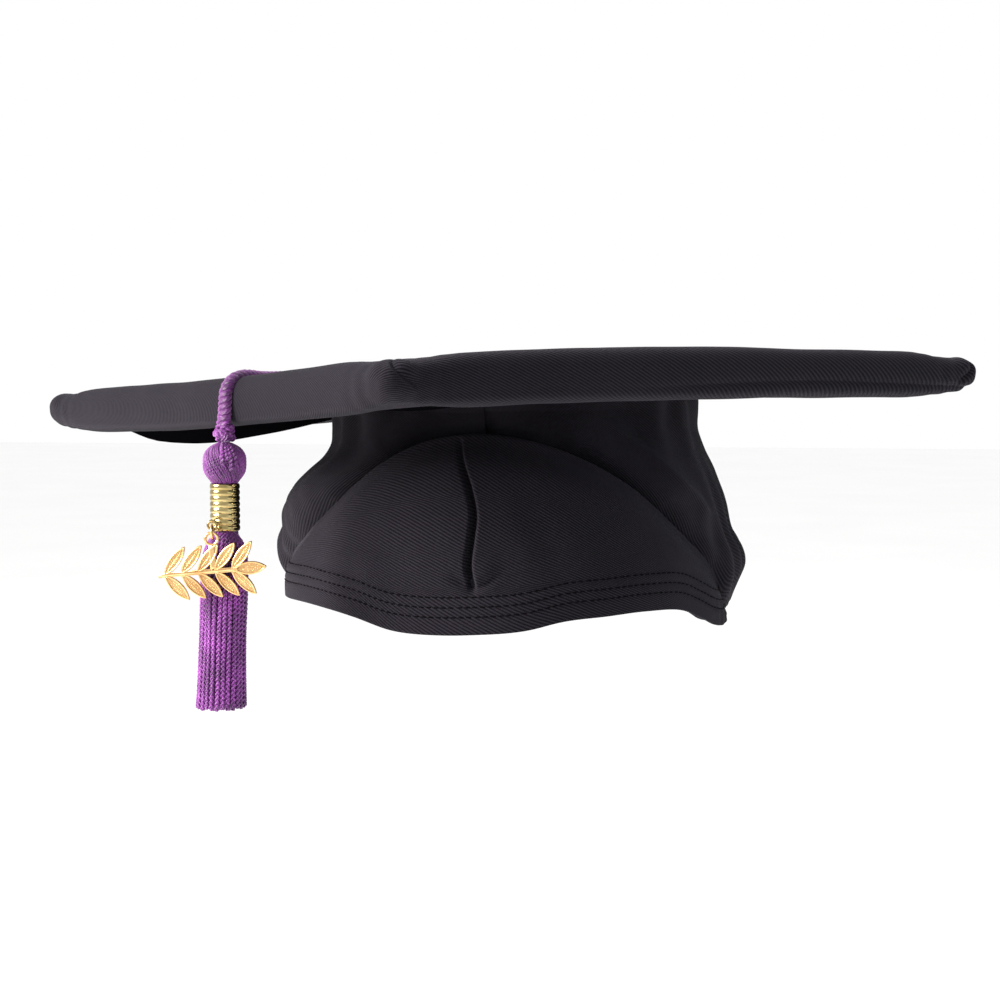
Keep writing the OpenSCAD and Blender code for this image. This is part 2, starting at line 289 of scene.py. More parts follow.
def add_rope(bag, line, radius, plies, pitch, sides=8, gap=0.5, closed=False, phase=0.0):
    """A rope of twisted plies about a line: each ply is a tube along its own helix."""
    if closed:
        at = lengths_along(line)
        a, b = frames_round(line)
        whole = at[-1] + np.linalg.norm(line[0] - line[-1])
        pitch = whole / round(whole / pitch)
    else:
        line, at = resample(line, gap)
        a, b = frames_along(line)
    ply_r = radius / (1 + 1 / math.sin(math.pi / plies))
    out = radius - ply_r
    ply_r *= 1.02
    for k in range(plies):
        angle = 2 * np.pi * (at / pitch + k / plies) + phase
        strand = line + out * (a * np.cos(angle)[:, None] + b * np.sin(angle)[:, None])
        add_tube(bag, strand, ply_r, sides, closed, shift=k * 0.37)


# ---- Material tools ----
class Nodes:
    """A new material with its Principled shader, and short calls for the nodes that feed it."""

    def __init__(self, name, roughness=0.5, metallic=0.0, **inputs):
        self.material = bpy.data.materials.new(name)
        self.material.use_nodes = True
        self.tree = self.material.node_tree
        self.shader = self.tree.nodes["Principled BSDF"]
        self.shader.inputs["Roughness"].default_value = roughness
        self.shader.inputs["Metallic"].default_value = metallic
        for key, value in inputs.items():
            self.shader.inputs[key.replace("_", " ")].default_value = value

    def node(self, kind, **settings):
        made = self.tree.nodes.new(kind)
        for key, value in settings.items():
            setattr(made, key, value)
        return made

    def link(self, a, b):
        self.tree.links.new(a, b)

    def math(self, operation, a, b=0.0):
        made = self.node("ShaderNodeMath", operation=operation)
        for socket, value in zip(made.inputs, (a, b)):
            if isinstance(value, (int, float)):
                socket.default_value = value
            else:
                self.link(value, socket)
        return made.outputs[0]

    def uv(self):
        """The cloth's own u and v, in metres."""
        made = self.node("ShaderNodeUVMap", uv_map="cloth")
        split = self.node("ShaderNodeSeparateXYZ")
        self.link(made.outputs[0], split.inputs[0])
        return split.outputs[0], split.outputs[1]

    def stripes(self, u, v, direction, pitch):
        """A wave from -1 to 1 across the direction (degrees from u), once each pitch millimetres."""
        k = 2 * math.pi / (pitch * MM)
        a = math.radians(direction)
        across_u = self.math("MULTIPLY", u, k * math.cos(a))
        across_v = self.math("MULTIPLY", v, k * math.sin(a))
        return self.math("SINE", self.math("ADD", across_u, across_v))

    def noise(self, scale, detail=2.0, roughness=0.5):
        made = self.node("ShaderNodeTexNoise")
        made.inputs["Scale"].default_value = scale
        made.inputs["Detail"].default_value = detail
        made.inputs["Roughness"].default_value = roughness
        place = self.node("ShaderNodeTexCoord")
        self.link(place.outputs["Object"], made.inputs["Vector"])
        return made.outputs["Fac"]

    def ramp(self, value, stops):
        made = self.node("ShaderNodeValToRGB")
        elements = made.color_ramp.elements
        while len(elements) < len(stops):
            elements.new(0.5)
        for element, (at, colour) in zip(elements, stops):
            element.position = at
            element.color = (*colour, 1)
        self.link(value, made.inputs[0])
        return made.outputs[0]

    def colour(self, value, stops):
        self.link(self.ramp(value, stops), self.shader.inputs["Base Color"])

    def rough(self, value, low, high):
        made = self.node("ShaderNodeMapRange")
        made.inputs["To Min"].default_value = low
        made.inputs["To Max"].default_value = high
        self.link(value, made.inputs["Value"])
        self.link(made.outputs[0], self.shader.inputs["Roughness"])

    def bump(self, height, distance, strength=1.0):
        made = self.node("ShaderNodeBump")
        made.inputs["Distance"].default_value = distance * MM
        made.inputs["Strength"].default_value = strength
        self.link(height, made.inputs["Height"])
        self.link(made.outputs[0], self.shader.inputs["Normal"])


def twill(name, dark, light, pitch=1.0, direction=62.0, gloss=0.06):
    """Black polyester twill: fine diagonal ribs crossed by threads, with a soft fuzz and faint shades."""
    m = Nodes(name, 0.86, Sheen_Weight=gloss * 0.7, Sheen_Roughness=0.5, Sheen_Tint=(0.85, 0.8, 1.0, 1),
              Specular_IOR_Level=gloss)
    u, v = m.uv()
    rib = m.stripes(u, v, direction, pitch)
    thread = m.stripes(u, v, 0, 0.34)
    fuzz = m.noise(1500, 3, 0.7)
    patch = m.noise(42, 3)
    weave = m.math("ADD", m.math("MULTIPLY", rib, 0.34), m.math("MULTIPLY", thread, 0.14))
    grain = m.math("ADD", m.math("MULTIPLY", fuzz, 0.8), m.math("MULTIPLY", patch, 0.2))
    m.colour(m.math("ADD", weave, grain), [(0.30, dark), (0.70, light)])
    m.rough(fuzz, 0.78, 0.95)
    m.bump(m.math("ADD", m.math("MULTIPLY", weave, 1.5), m.math("MULTIPLY", fuzz, 0.6)), 0.14, 0.9)
    return m.material


def thread_material(name, dark, mid, light, rough=0.36, gloss=1.0):
    """Lustrous rayon thread: fine filaments that run round each ply at a slant."""
    m = Nodes(name, rough, Sheen_Weight=0.30 * gloss, Sheen_Roughness=0.3, Sheen_Tint=(0.95, 0.6, 1.0, 1),
              Specular_IOR_Level=0.55 * gloss)
    u, v = m.uv()
    filament = m.stripes(u, v, 24, 0.16)
    lump = m.noise(1900, 2, 0.6)
    tint = m.noise(120, 2)
    mix = m.math("ADD", m.math("MULTIPLY", filament, 0.13), m.math("ADD", m.math("MULTIPLY", lump, 0.5),
                                                                 m.math("MULTIPLY", tint, 0.5)))
    m.colour(mix, [(0.3, dark), (0.5, mid), (0.72, light)])
    m.rough(lump, rough - 0.1, rough + 0.16)
    m.bump(m.math("ADD", filament, lump), 0.05, 0.7)
    return m.material


def metal(name, dark, light, rough_low, rough_high, grain=900.0):
    m = Nodes(name, rough_low, 1.0)
    stain = m.noise(170, 3)
    fine = m.noise(grain, 2)
    m.colour(stain, [(0.3, dark), (0.7, light)])
    m.rough(fine, rough_low, rough_high)
    m.bump(fine, 0.01, 0.3)
    return m.material


def card_material(name, dark, light, roughness, bump):
    """Fibrous sheet, such as grey board or wadding."""
    m = Nodes(name, roughness)
    fibre = m.noise(700, 5, 0.75)
    m.colour(fibre, [(0.35, dark), (0.65, light)])
    m.bump(fibre, bump, 0.8)
    return m.material


CLOTH = twill("cap_twill", (0.0004, 0.0004, 0.0010), (0.0128, 0.0108, 0.0152))
# the underside's cloth is the cap twill made near black: painted shade for the shadow under the board
SHADED_UNDERSIDE_CLOTH = twill("underside_cloth_painted_shade", (0.0003, 0.0003, 0.0004), (0.0022, 0.0020, 0.0026), gloss=0.0)
LINING = twill("lining_cloth", (0.008, 0.0075, 0.010), (0.026, 0.024, 0.031), pitch=0.5, direction=90.0)
ELASTIC = twill("elastic_web", (0.010, 0.010, 0.010), (0.035, 0.035, 0.035), pitch=1.4, direction=0.0)
STITCH = thread_material("stitch_thread", (0.0005, 0.0005, 0.0006), (0.0008, 0.0008, 0.0010),
                         (0.0016, 0.0015, 0.0020), 0.8, 0.05)
PURPLE = thread_material("purple_rayon", (0.018, 0.001, 0.031), (0.120, 0.010, 0.155), (0.41, 0.08, 0.48))
# the cord's rayon is the tassel's purple made darker: painted shade on the cord, which the key lamp lights
# strongly
SHADED_ROPE = thread_material("purple_cord_painted_shade", (0.010, 0.001, 0.018), (0.068, 0.006, 0.088), (0.235, 0.045, 0.275))
GOLD = metal("ferrule_gold", (0.25, 0.19, 0.07), (0.385, 0.31, 0.145), 0.12, 0.24)
CHARM_GOLD = metal("charm_gold", (0.58, 0.33, 0.13), (0.80, 0.55, 0.27), 0.20, 0.34)
STEEL = metal("button_steel", (0.45, 0.45, 0.46), (0.66, 0.66, 0.67), 0.25, 0.4)
CARD = card_material("grey_card", (0.30, 0.22, 0.14), (0.47, 0.37, 0.25), 0.95, 0.1)
WADDING = card_material("white_wadding", (0.55, 0.55, 0.52), (0.8, 0.8, 0.77), 1.0, 0.4)


# ---- Board shape ----
def weights(t):
    return np.array([t * (t - 1) / 2, 1 - t * t, t * (t + 1) / 2])


def board_mid(u, v):
    """Height of the board's middle surface at u and v, which run along its edges from its middle."""
    return np.einsum("i...,ij,j...->...", weights(v / HALF), BOW, weights(u / HALF))


def on_board(u, v, h):
    return np.stack(np.broadcast_arrays(BOARD_X + (u - v) / R2, (u + v) / R2, board_mid(u, v) + h), -1)


def board_z(x, y):
    return board_mid((x - BOARD_X + y) / R2, (y - x + BOARD_X) / R2)


def ring(s, per_corner=10, near=20, far=34):
    """u and v of one ring round the board: a rounded square of half side s, denser near its corners."""
    r = min(CORNER_R, s / 2)
    c = s - r
    a = np.radians(np.linspace(0, 90, per_corner + 1))
    close = np.linspace(0, 0.085, near + 1)[1:]
    f = np.concatenate([close, np.linspace(0.085, 0.915, far + 1)[1:-1], 1 - close[::-1]])
    u = np.concatenate([c + r * np.cos(a), c * (1 - 2 * f)])
    v = np.concatenate([c + r * np.sin(a), np.full(len(f), s)])
    turns = [(u, v), (-v, u), (-u, -v), (v, -u)]
    return np.concatenate([t[0] for t in turns]), np.concatenate([t[1] for t in turns])


def rim_height(u, v):
    """Half the rim's thickness: full along an edge, thin at the corners."""
    m = np.minimum(np.abs(u), np.abs(v)) / HALF
    return 7.3 - 2.6 * step(m, 0.72, 1.0)


TOP_SWELL = ([0, DIMPLE_R, 36, 53, 70, 85, 100, HALF - 8.5],
             [DIMPLE_H, DIMPLE_H, 4.9, 5.7, 6.0, 5.8, 5.6, 6.6])
RIM_R = 6.6


def segment_distance(pu, pv, a, b):
    """Distance to a line from a to b, how far along it, and on which side."""
    d = np.subtract(b, a)
    length = np.hypot(*d)
    t = ((pu - a[0]) * d[0] + (pv - a[1]) * d[1]) / length**2
    side = ((pu - a[0]) * d[1] - (pv - a[1]) * d[0]) / length
    out = np.maximum(np.maximum(-t, t - 1), 0) * length
    return np.hypot(side, out), t, side


def cover_points(section):
    """Grid of points for a section of (s, h share, h) rows, with the unfolded cloth's u and v."""
    rows, uvs = [], []
    length, last = 0.0, None
    for s, share, h in section:
        u, v = ring(s)
        height = share * rim_height(u, v) + h
        rows.append(on_board(u, v, height))
        mean = float(np.mean(share * 7.0 + h))
        if last is not None:
            length += math.hypot(s - last[0], mean - last[1])
        last = (s, mean)
        flat_u, flat_v = ring(max(length + section[0][0], 0.5))
        uvs.append(np.stack([np.append(flat_u, flat_u[0]), np.append(flat_v, flat_v[0])], -1))
    return np.array(rows), np.array(uvs)


def rim_arc(start, end, count):
    """Sections round the rim, from an angle above the middle to one below."""
    power = 0.82
    out = []
    for a in np.radians(np.linspace(start, end, count)):
        c, s = math.cos(a), math.sin(a)
        out.append((HALF - RIM_R + RIM_R * abs(c) ** power, math.copysign(abs(s) ** power, s), 0.0))
    return out


def make_top_cover():
    flat = [(s, 0.0, float(smooth_interp(s, *TOP_SWELL))) for s in
            [0.6, 3, 7, 11, 14, 17, 20, 23, 27, 31, 36, 42, 50, 58, 66, 75, 84, 92, 98, 103, 107]]
    under = [(HALF - 8, -1.0, 0.05), (HALF - 11, -0.8, -1.0), (HALF - 15, -0.4, -3.4), (98, 0.0, -6.0),
             (94, 0.0, -5.9)]
    section = flat + [(HALF - 9.5, 0.45, 3.45)] + rim_arc(86, -86, 25) + under
    points, uv = cover_points(section)
    s = np.array([row[0] for row in section])[:, None]
    normal = -grid_normals(points, wrap=True)
    up = np.sign((normal[5] * [0, 0, 1]).sum(-1).mean())
    normal *= up
    u = ((points[..., 0] - BOARD_X) + points[..., 1]) / R2
    v = (points[..., 1] - (points[..., 0] - BOARD_X)) / R2
    h = points[..., 2] - board_mid(u, v)
    on_top = step(h, 0.0, 3.0)
    # soft wadding under the cloth, and slack that runs along the rim
    d = 0.55 * noise_at(points, 46.0, 3.1) + 0.22 * noise_at(points, 17.0, 8.7) * step(s, 60, 115)
    # pulls that fan out from the button
    angle = np.arctan2(v, u)
    d += 0.35 * np.cos(11 * angle + 0.6 * np.sin(3 * angle)) * bell(s, 22, 9)
    # the side over the wearer's left brow is fuller just inside the rim
    d += 2.6 * bell(v, -98, 15) * bell(u, -28, 50) * on_top
    # a fold just behind the rim, so that the lit top shows above it
    d -= 1.2 * bell(-v, 107.5, 2.6) * step(u, -110, -80) * (1 - step(u, 40, 90)) * on_top
    # the cord's weight presses a groove across the padding
    for a, b in zip(RUN_ROUTE[1:6], RUN_ROUTE[2:7]):
        ends = [((p[0] - BOARD_X + p[1]) / R2, (p[1] - p[0] + BOARD_X) / R2) for p in (a, b)]
        distance, t, _ = segment_distance(u, v, *ends)
        d -= 1.7 * bell(distance, 0, 3.0) * on_top * step(t, -0.1, 0.1) * (1 - step(t, 0.9, 1.1))
    # a long crease low on the rim
    low_edge = bell(h, -3.4 + 0.8 * np.sin(u / 26), 0.9) * step(s, HALF - 3.5, HALF - 1.5)
    d -= 1.1 * low_edge * step(-v, 90, 110) * step(u, -45, 10)
    d += 0.6 * bell(h, -5.2, 1.2) * step(s, HALF - 6, HALF - 3)
    # each corner's mitre: the cloth of one edge is folded over the other's
    along = np.abs(v) - np.abs(u)
    near = step(np.minimum(np.abs(u), np.abs(v)), 96, 104)
    distance, t, side = segment_distance(along, h, (0.4, 4.0), (8.6, -1.6))
    inside = near * step(s, HALF - 7, HALF - 5) * step(t, -0.15, 0.05) * (1 - step(t, 0.9, 1.15))
    d -= 1.3 * np.exp(-(distance / 0.75) ** 2) * inside
    d += 0.8 * np.exp(-np.clip(side - 0.3, 0, None) / 3.0) * step(side, 0.0, 0.8) * inside
    # small puckers that end at the corner
    toward = np.hypot(np.abs(u) - HALF, np.abs(v) - HALF)
    d += 0.14 * np.sin(toward * 0.8 + 3 * np.arctan2(np.abs(v) - 60, np.abs(u) - 60)) * bell(toward, 14, 10)
    # the folded cloth of the mitre is thicker just inside each corner
    d += 1.2 * bell(toward, 6, 4.5) * on_top
    points = points + normal * d[..., None]
    verts, faces, corners = grid(points, uv, wrap=True)
    piece = finish_mesh("top_cover_cloth", verts, faces, corners, "cap", CLOTH)
    thicken(piece, 0.6)
    subdivide(piece)
    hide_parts("top_cover")


def make_bottom_cover():
    """Cloth over the underside. It hangs slack beside the crown, most of all to the wearer's right."""
    stops = [0.6, 6, 14, 24, 34, 44, 54, 62, 70, 78, 85, 91, 96, 100, 103]
    points, uv = cover_points([(s, 0.0, -6.15) for s in stops])
    s = np.array(stops)[:, None]
    u = ((points[..., 0] - BOARD_X) + points[..., 1]) / R2
    v = (points[..., 1] - (points[..., 0] - BOARD_X)) / R2
    belly = 8.0 * bell(np.hypot(u + 72, v - 84), 0, 44) + 1.6 * bell(np.hypot(u + 84, v + 84), 0, 20)
    sag = belly * step(103 - s, 0, 12) + 0.5 * noise_at(points, 22.0, 1.2) * step(103 - s, 0, 10)
    points[..., 2] -= sag
    verts, faces, corners = grid(points, uv, wrap=True, flip=True)
    # the bottom cover's near-black colour is painted shade under the board
    piece = finish_mesh("bottom_cover_cloth", verts, faces, corners, "cap", SHADED_UNDERSIDE_CLOTH)
    thicken(piece, 0.6, offset=1.0)
    subdivide(piece)
    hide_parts("bottom_cover")


# ---- Crown ----
LEFT_WIDTH = ([0, 7, 14, 20, 27, 35, 42, 48, 52, 57, 62, 70],
              [77.6, 80.4, 81.8, 81.8, 80.2, 79.0, 76.8, 71.4, 66.4, 63.0, 62.6, 63.6])
RIGHT_WIDTH = ([0, 7, 14, 20, 27, 35, 42, 48, 57, 63, 70],
               [78.8, 80.8, 81.8, 80.8, 77.4, 75.8, 74.0, 71.8, 67.6, 65.8, 65.2])
LENGTH = ([0, 17, 34, 54, 70], [94, 95, 91, 82, 74])
ARC_ANGLE = [-86, -80, -75, -60, -45, -30, -15, 0, 15, 30, 45, 60, 75, 80, 86]
ARC_HEIGHT = [0.5, 6, 13.5, 25, 37, 50, 59, 62, 60, 54, 43.5, 28, 12.5, 6, 0.5]
HEM_ANGLE = [-120, -100, -80, -61, -46, -28, -17, -6, 2, 14.6, 22, 33, 43, 55, 62, 69, 76, 82, 90, 120]
HEM_HEIGHT = [1.0, 1.5, 3.0, 5.0, 5.7, 3.5, 0.5, -0.1, 0.3, 1.8, 4.1, 5.2, 5.8, 4.4, 0.8,
              -2.8, -3.6, 0.0, 0.8, 1.0]
STITCH_ROWS = (5.8, 8.9, 12.1)


def crown_at(angle, z, d):
    """x and y of the crown's face at an angle from the wearer's left and a height, set out by d."""
    c, s = np.cos(np.radians(angle)), np.sin(np.radians(angle))
    left, right = smooth_interp(z, *LEFT_WIDTH), smooth_interp(z, *RIGHT_WIDTH)
    share = (1 + np.clip(c / 0.25, -1, 1) * (1.5 - 0.5 * np.clip(c / 0.25, -1, 1) ** 2)) / 2
    return (left + (right - left) * share + d) * c, (smooth_interp(z, *LENGTH) + d) * s


def crown_spot(angle, t, d):
    """A point on the crown a share t of the way up to the board."""
    z = t * 70.0
    for _ in range(3):
        x, y = crown_at(angle, z, d)
        z = t * (board_z(x, y) - UNDER_H + 0.3)
    return x, y, z


def front_angle(angle):
    """Degrees round from the front of the cap, positive towards the wearer's left."""
    return (angle + 90 + 180) % 360 - 180


def hem_height(angle):
    return smooth_interp(front_angle(angle), HEM_ANGLE, HEM_HEIGHT)


def gathers(angle):
    """The elastic's small folds, from -1 to 1."""
    return np.sin(np.radians(angle) * 46 + 0.9 * np.sin(np.radians(angle) * 9))


def pleat(phi, z):
    """Depth of the front panel's middle pleat: a sharp valley and the fold that lies beside it."""
    line = smooth_interp(z, [10, 15, 22, 30, 38, 46, 54, 64], [2.4, 2.2, 1.4, 1.9, 2.3, 0.9, -1.4, -4.0])
    x = (phi - line) * 1.55
    fade = step(z, 13, 17) * (1 - 0.8 * step(z, 48, 62))
    groove = -4.2 * np.where(x < 0, np.exp(-(np.abs(x) / 1.7) ** 3), np.exp(-(x / 0.9) ** 2))
    fold = 2.2 * np.exp(-np.clip(x, 0, None) / (4.0 + 0.10 * z)) * step(x, 0, 1.1)
    foot_left = -2.2 * bell(z, 15.8 + 0.30 * np.abs(x), 1.3) * bell(x, -3.5, 4.0)
    foot_right = -2.4 * bell(z, 14.6 + 0.50 * np.clip(x, 0, None), 1.3) * bell(x, 4.5, 5.5)
    bulge = 1.2 * bell(z, 20.5, 4.5) * bell(x, 5.5, 4.5)
    return (groove + fold) * fade + foot_left + foot_right + bulge


def make_crown_front():
    """Front panel: a low stiff dome whose top edge rolls over in front of the soft crown."""
    phis = np.concatenate([np.linspace(-86, -12, 60), np.linspace(-11.6, 14, 96), np.linspace(14.8, 86, 58)])
    shares = np.concatenate([np.linspace(0, 0.97, 56), 1 + np.linspace(0, 1, 12)])
    phi, share = np.meshgrid(phis, shares)
    top = smooth_interp(phi, ARC_ANGLE, ARC_HEIGHT)
    hem = hem_height(phi - 90)
    rise = np.clip(share, 0, 1)
    z = hem + (np.maximum(top, 3) - hem) * rise
    # the roll: a half turn of small radius at the top edge, and then down behind
    roll = np.clip(share - 1, 0, 1)
    roll_r = 1.6 * np.clip(top / 14, 0.25, 1)
    turn = roll * math.radians(200)
    lean = 0.105 * (np.clip(z, 0, None) / 62) ** 1.7 + 0.05 * bell((1 - rise) * np.maximum(top, 3), 0, 6.0)
    inward = roll_r * (1 - np.cos(turn)) + np.where(share > 1, 7.5 * roll**2, 0)
    z = z + np.where(share > 1, roll_r * np.sin(turn) - 4.0 * roll**2, 0)
    c, s = np.cos(np.radians(phi - 90)), np.sin(np.radians(phi - 90))
    belly = 1.8 * bell(z, 20, 16)
    x = ((80.0 + belly) * (1 - lean) - inward) * c
    y = ((95.0 + belly * 0.7) * (1 - lean) - inward) * s
    points = np.stack([x, y, z], -1)
    n = np.stack([c, s * 0.9, 0 * c], -1)
    d = 0.7 * noise_at(points, 26.0, 5.3) + 0.3 * noise_at(points, 10.0, 2.9) * step(z, 12, 22)
    d += pleat(phi, z) * (share <= 1)
    # gathers where the front meets the elastic, strongest at the wearer's left
    edge = step(np.abs(phi), 66, 84)
    d += 1.0 * np.sin(phi * 1.9 + z * 0.10) * edge * (0.6 + 0.4 * (phi > 0))
    # soft dents that run down to the right of the pleat
    d -= 1.0 * bell(phi - 26 + 0.25 * z, 0, 4.5) * bell(z, 34, 18)
    d -= 0.7 * bell(phi + 30 + 0.35 * (z - 20), 0, 5) * bell(z, 14, 9)
    # three sunken stitch rows and the turned hem's thickness
    height = z - hem
    for row in STITCH_ROWS:
        d -= 0.28 * bell(height, row, 0.5)
    d += 0.35 * step(-height, -13, -11.5) * (height < 14)
    points = points + n * d[..., None]
    along = np.cumsum(np.concatenate([[0], np.diff(phis)])) * 1.53
    up = lengths_along(points[:, 110])
    uv = cloth_uv(along[None, :], up[:, None])
    verts, faces, corners = grid(points, uv)
    piece = finish_mesh("crown_front_cloth", verts, faces, corners, "cap", CLOTH)
    thicken(piece, 1.0)
    subdivide(piece)
    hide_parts("crown_front")
    return points, phis


def soft_panel(name, angles, node, columns, seed):
    """A soft side or back panel, from the hem or from behind the front panel up to the board."""
    rows = 64
    angle = np.linspace(*angles, columns)[None, :] * np.ones((rows, 1))
    phi = front_angle(angle)
    t = np.linspace(0, 1, rows)[:, None] * np.ones((1, columns))
    front = np.abs(phi) < 86
    arc = np.where(front, smooth_interp(phi, ARC_ANGLE, ARC_HEIGHT), 0)
    hem = hem_height(angle)
    start = np.clip(arc - 9, 0, None) / 72
    share = start + (1 - start) * t
    x, y, roof = crown_spot(angle, share, 0.0)
    z = roof + hem * (1 - share) ** 3
    above = z - arc
    reach = step(86 - np.abs(phi), 0, 20)
    # a deep fold behind the front panel's edge, and the crown's outer fold beside it
    fold_width = 5.5 + 3 * bell(phi, 0, 50)
    d = -(9.0 + 3.0 * bell(phi, 0, 40)) * bell(np.clip(above + 1.5, 0, None), 0, fold_width) * reach
    d += np.where(above < -1.5, -2.0 * reach, 0)
    d -= 4.0 * bell(phi, 0, 46) * step(share, 0.5, 0.95) * (1 - step(share, 0.97, 1.0))
    d += 1.8 * bell(above, 17, 6) * bell(np.abs(phi), 62, 20)
    # a ridge that runs down the wearer's left side
    d += 1.6 * bell(above - 20 + 0.02 * phi, 0, 2.6) * bell(phi, 52, 20)
    # gathers of the elastic at the back and beside the front panel
    back = step(np.abs(phi), 88, 112)
    d += (1.35 * gathers(angle) * np.exp(-z / 26) - 0.8 * bell(z, 9, 6)) * back
    side = bell(np.abs(phi), 88, 16)
    d += 1.3 * np.sin(phi * 0.8 + z * 0.12) * side * step(z, 0, 14) * (1 - step(z, 30, 60))
    # long soft wrinkles that hang from the board's seam
    hang = np.sin(np.radians(angle) * 17 + 1.7 * np.sin(np.radians(angle) * 5 + seed))
    d += 1.0 * hang * step(share, 0.45, 1.0) * (1 - step(share, 0.96, 1.0))
    points = np.stack([x, y, z], -1)
    d += 1.5 * noise_at(points, 24.0, seed) * (1 - step(share, 0.94, 1))
    d += 0.4 * noise_at(points, 8.0, seed + 4)
    n = outward_from(angle)
    points = points + n * d[..., None]
    along = np.radians(np.abs(angle[0] - angle[0, 0])) * 86
    up = lengths_along(points[:, columns // 2])
    uv = cloth_uv(along[None, :], up[:, None])
    verts, faces, corners = grid(points, uv)
    piece = finish_mesh(name, verts, faces, corners, "cap", CLOTH)
    thicken(piece, 0.8)
    subdivide(piece)
    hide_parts(node)


def make_stitches(name, points, phis, rows):
    """Rows of short stitches that follow the hem of a panel."""
    bag = Bag()
    hem = hem_height(phis - 90)
    for row in rows:
        # where each column of the panel reaches this height over the hem
        line = []
        for j in range(len(phis)):
            column = points[:56, j]
            line.append([np.interp(hem[j] + row, column[:, 2], column[:, k]) for k in range(3)])
        line = np.array(line)
        out = line * [1, 1, 0]
        out /= np.linalg.norm(out, axis=1, keepdims=True)
        line = line + out * 0.02
        fine, at = resample(line, 0.35)
        n = fine * [1, 1, 0]
        n /= np.linalg.norm(n, axis=1, keepdims=True)
        pitch, stitch = 2.5, 1.8
        where = at % pitch
        starts = np.flatnonzero(np.diff((where < stitch).astype(int)) == 1) + 1
        for start in starts:
            end = start + int(stitch / 0.35)
            if end >= len(fine):
                break
            span = fine[start:end + 1]
            lift = np.sin(np.linspace(0, np.pi, len(span)))[:, None] * 0.34 - 0.12
            add_tube(bag, span + n[start:end + 1] * lift, 0.19, 6)
    piece = bag.piece(name, "cap", STITCH)
    return piece


def ring_wall(name, angles, z_low, z_high, depth, material, node, thickness, ripple=0.0, columns=160):
    """A band inside the crown, between two heights. It stays below and behind the front's top edge."""
    rows = 14
    angle = np.linspace(*angles, columns)[None, :] * np.ones((rows, 1))
    phi = front_angle(angle)
    arc = np.where(np.abs(phi) < 86, smooth_interp(phi, ARC_ANGLE, ARC_HEIGHT), 99)
    top = np.clip(np.minimum(z_high, arc - 5), z_low + 1.5, None)
    z = z_low + hem_height(angle) + (top - z_low) * np.linspace(0, 1, rows)[:, None]
    depth = depth + 0.11 * 80 * (np.clip(z, 0, None) / 62) ** 1.7 * (np.abs(phi) < 80)
    x, y = crown_at(angle, z, -depth)
    n = outward_from(angle)
    points = np.stack([x, y, z], -1)
    d = ripple * gathers(angle) + 0.2 * noise_at(points, 9.0, 7.0)
    points = points + n * d[..., None]
    uv = cloth_uv(np.radians(angle - angle[0, 0]) * 84, z)
    verts, faces, corners = grid(points, uv, flip=True)
    piece = finish_mesh(name, verts, faces, corners, "cap", material)
    thicken(piece, thickness)
    subdivide(piece)
    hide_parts(node)


def make_crown():
    points, phis = make_crown_front()
    keep = slice(3, -3)
    make_stitches("hem_stitches", points[:, keep], phis[keep], STITCH_ROWS)
    soft_panel("crown_right_cloth", (-91.5, 35), "crown_right", 200, 1.7)
    soft_panel("crown_left_cloth", (-88.5, -215), "crown_left", 200, 6.3)
    soft_panel("crown_back_cloth", (34, 146), "crown_back", 220, 3.9)
    ring_wall("sweatband_cloth", (-198, 18), 1.5, 29, 4.2, LINING, "sweatband", 0.7)
    ring_wall("front_interlining_cloth", (-164, -16), 3, 40, 3.0, LINING, "front_interlining", 0.6)
    ring_wall("back_casing_cloth", (37, 143), 0.8, 17, 4.4, CLOTH, "back_casing", 0.6, 1.0, 240)
    ring_wall("elastic_band_web", (39, 141), 3, 15, 3.0, ELASTIC, "elastic_band", 0.6, 0.9, 240)


def make_crown_tip():
    shares = np.concatenate([[0.02], np.linspace(0.08, 1, 22)])
    angle = np.linspace(0, 360, 180, endpoint=False)
    a = np.radians(angle)[None, :]
    f = shares[:, None]
    x = 62.0 * f * np.cos(a) + BOARD_X * (1 - f)
    y = 72.0 * f * np.sin(a)
    z = board_z(x, y) - UNDER_H - 0.9
    points = np.stack([x, y, z], -1)
    points[..., 2] -= (0.5 + 0.5 * np.cos(a * 31)) * 0.9 * f**6 + 0.5 + 0.5 * noise_at(points, 18.0, 4.4)
    uv = np.stack([np.concatenate([x, x[:, :1]], 1), np.concatenate([y, y[:, :1]], 1)], -1)
    verts, faces, corners = grid(points, uv, wrap=True, flip=True)
    piece = finish_mesh("crown_tip_cloth", verts, faces, corners, "cap", CLOTH)
    thicken(piece, 0.6, offset=1.0)
    subdivide(piece)
    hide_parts("crown_tip")


# ---- Button ----
def make_button():
    """Cloth gathered over a domed button."""
    profile = [(0.3, 0.0), (2.5, -0.08), (5, -0.35), (7.5, -0.95), (9.3, -1.8), (10.4, -2.8),
               (10.9, -3.8), (10.6, -4.5), (9.4, -4.85), (7.6, -4.9)]
    angle = np.radians(np.linspace(0, 360, 96, endpoint=False))
    rows, uvs, length, last = [], [], 0.3, profile[0]
    for r, h in profile:
        length += math.hypot(r - last[0], h - last[1])
        last = (r, h)
        pucker = 0.16 * np.cos(angle * 22) * step(r, 8.5, 10.8) + 0.05 * np.cos(angle * 7 + 1)
        rr = r + pucker
        rows.append(on_board(rr * np.cos(angle), rr * np.sin(angle), DIMPLE_H + 0.1 + BUTTON_H + h + 0.1))
        flat = length * np.stack([np.cos(angle), np.sin(angle)], -1)
        uvs.append(np.concatenate([flat, [[length, 0]]]))
    verts, faces, corners = grid(np.array(rows), np.array(uvs), wrap=True, flip=True)
    piece = finish_mesh("button_cover_cloth", verts, faces, corners, "cap", CLOTH)
    subdivide(piece, 2)
    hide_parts("button_cover")


